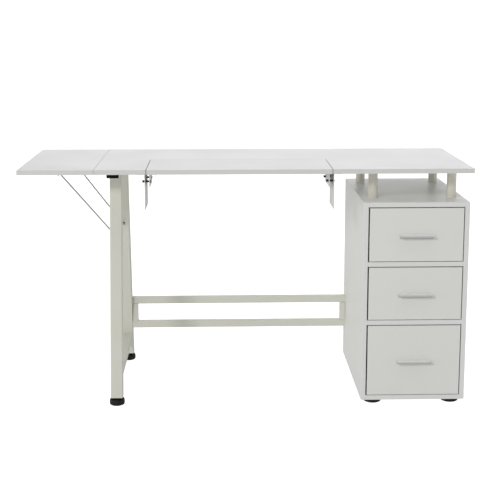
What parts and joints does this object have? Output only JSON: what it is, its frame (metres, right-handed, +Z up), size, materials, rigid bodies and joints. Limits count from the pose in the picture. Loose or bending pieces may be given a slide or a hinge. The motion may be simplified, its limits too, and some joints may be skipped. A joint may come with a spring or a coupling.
{
  "type": "sewing table",
  "caption": "White sewing table with a folding end leaf on wire struts, a machine platform that lowers, and a drawer pedestal under an open shelf.",
  "frame": {"origin": "middle of the footprint, on the floor", "axes": "+Z up; -Y is the front, where the sewer sits; +X runs from the folding leaf to the pedestal"},
  "size_m": [1.41, 0.515, 0.76],
  "materials": {
    "laminate_white": "satin white laminate on particle board",
    "laminate_carcass": "satin white laminate on particle board",
    "laminate_front": "satin white laminate on particle board",
    "drawer_board": "foil-wrapped particle board",
    "hardboard_white": "white-faced hardboard",
    "frame_paint": "ivory powder coat",
    "bracket_paint": "ivory powder coat",
    "post_paint": "ivory powder coat",
    "handle_paint": "light grey powder coat",
    "runner_steel": "white enamel",
    "zinc_steel": "zinc plated",
    "black_steel": "black oxide",
    "black_plastic": "moulded black"
  },
  "bodies": {
    "table": {"table_top": "laminate_white", "hinge_fixed_halves": "zinc_steel", "hinge_pins": "zinc_steel", "leg_front": "frame_paint", "leg_rear": "frame_paint", "top_rail": "frame_paint", "lower_rail": "frame_paint", "top_rail_caps": "black_plastic", "leg_inserts": "black_plastic", "top_rail_screws": "zinc_steel", "stretcher_upper_bar": "frame_paint", "stretcher_lower_bar": "frame_paint", "stretcher_uprights": "frame_paint", "stretcher_bolts": "zinc_steel", "fixed_bracket_left": "bracket_paint", "fixed_bracket_right": "bracket_paint", "cabinet_side_left": "laminate_carcass", "cabinet_side_right": "laminate_carcass", "cabinet_top": "laminate_carcass", "cabinet_bottom": "laminate_carcass", "cabinet_dividers": "laminate_carcass", "cabinet_back": "hardboard_white", "cabinet_runners": "runner_steel", "cabinet_feet": "black_plastic", "top_posts": "post_paint", "post_bolts": "zinc_steel"},
    "leaf": {"drop_leaf": "laminate_white", "hinge_leaf_halves": "zinc_steel", "strut_clips": "black_plastic"},
    "front_strut": {"strut_front": "zinc_steel"},
    "rear_strut": {"strut_rear": "zinc_steel"},
    "platform": {"machine_platform": "laminate_white", "platform_bracket_left": "bracket_paint", "platform_bracket_right": "bracket_paint", "platform_bolts": "black_steel"},
    "knob_left_front": {"clamp_knob_left_front": "black_plastic"},
    "knob_left_rear": {"clamp_knob_left_rear": "black_plastic"},
    "knob_right_front": {"clamp_knob_right_front": "black_plastic"},
    "knob_right_rear": {"clamp_knob_right_rear": "black_plastic"},
    "drawer_upper": {"drawer_upper_front": "laminate_front", "drawer_upper_sides": "drawer_board", "drawer_upper_back": "drawer_board", "drawer_upper_bottom": "hardboard_white", "drawer_upper_handle": "handle_paint", "drawer_upper_runners": "runner_steel"},
    "drawer_middle": {"drawer_middle_front": "laminate_front", "drawer_middle_sides": "drawer_board", "drawer_middle_back": "drawer_board", "drawer_middle_bottom": "hardboard_white", "drawer_middle_handle": "handle_paint", "drawer_middle_runners": "runner_steel"},
    "drawer_lower": {"drawer_lower_front": "laminate_front", "drawer_lower_sides": "drawer_board", "drawer_lower_back": "drawer_board", "drawer_lower_bottom": "hardboard_white", "drawer_lower_handle": "handle_paint", "drawer_lower_runners": "runner_steel"},
    "glide_front": {"leg_glide_front": "black_plastic"},
    "glide_rear": {"leg_glide_rear": "black_plastic"}
  },
  "joints": [
    {"name": "leaf_fold", "type": "hinge", "parent": "table", "child": "leaf", "pos_m": [-0.4704, 0.0075, 0.741], "axis": [0, -1, 0], "range_deg": [0, 90]},
    {"name": "front_strut_swing", "type": "hinge", "parent": "leaf", "child": "front_strut", "pos_m": [-0.59, -0.1545, 0.738], "axis": [0, -1, 0], "range_deg": [-128.6, 0]},
    {"name": "rear_strut_swing", "type": "hinge", "parent": "leaf", "child": "rear_strut", "pos_m": [-0.59, 0.1695, 0.738], "axis": [0, -1, 0], "range_deg": [-128.6, 0]},
    {"name": "platform_height", "type": "slide", "parent": "table", "child": "platform", "axis": [0, 0, -1], "range_m": [0, 0.07]},
    {"name": "knob_left_front_turn", "type": "hinge", "parent": "platform", "child": "knob_left_front", "pos_m": [-0.3193, -0.2185, 0.721], "axis": [-1, 0, 0], "range_deg": [-720, 0]},
    {"name": "knob_left_rear_turn", "type": "hinge", "parent": "platform", "child": "knob_left_rear", "pos_m": [-0.3193, -0.1345, 0.721], "axis": [-1, 0, 0], "range_deg": [-720, 0]},
    {"name": "knob_right_front_turn", "type": "hinge", "parent": "platform", "child": "knob_right_front", "pos_m": [0.2502, -0.2185, 0.721], "axis": [-1, 0, 0], "range_deg": [-720, 0]},
    {"name": "knob_right_rear_turn", "type": "hinge", "parent": "platform", "child": "knob_right_rear", "pos_m": [0.2502, -0.1345, 0.721], "axis": [-1, 0, 0], "range_deg": [-720, 0]},
    {"name": "drawer_upper_slide", "type": "slide", "parent": "table", "child": "drawer_upper", "axis": [0, -1, 0], "range_m": [0, 0.35]},
    {"name": "drawer_middle_slide", "type": "slide", "parent": "table", "child": "drawer_middle", "axis": [0, -1, 0], "range_m": [0, 0.35]},
    {"name": "drawer_lower_slide", "type": "slide", "parent": "table", "child": "drawer_lower", "axis": [0, -1, 0], "range_m": [0, 0.35]},
    {"name": "glide_front_turn", "type": "hinge", "parent": "table", "child": "glide_front", "pos_m": [-0.415, -0.21623, 0.012], "axis": [0, 0, 1], "continuous": true},
    {"name": "glide_rear_turn", "type": "hinge", "parent": "table", "child": "glide_rear", "pos_m": [-0.415, 0.23123, 0.012], "axis": [0, 0, 1], "continuous": true}
  ],
  "couplings": [
    {"joint": "front_strut_swing", "follows": "leaf_fold", "ratio": -1.428},
    {"joint": "rear_strut_swing", "follows": "leaf_fold", "ratio": -1.428}
  ]
}
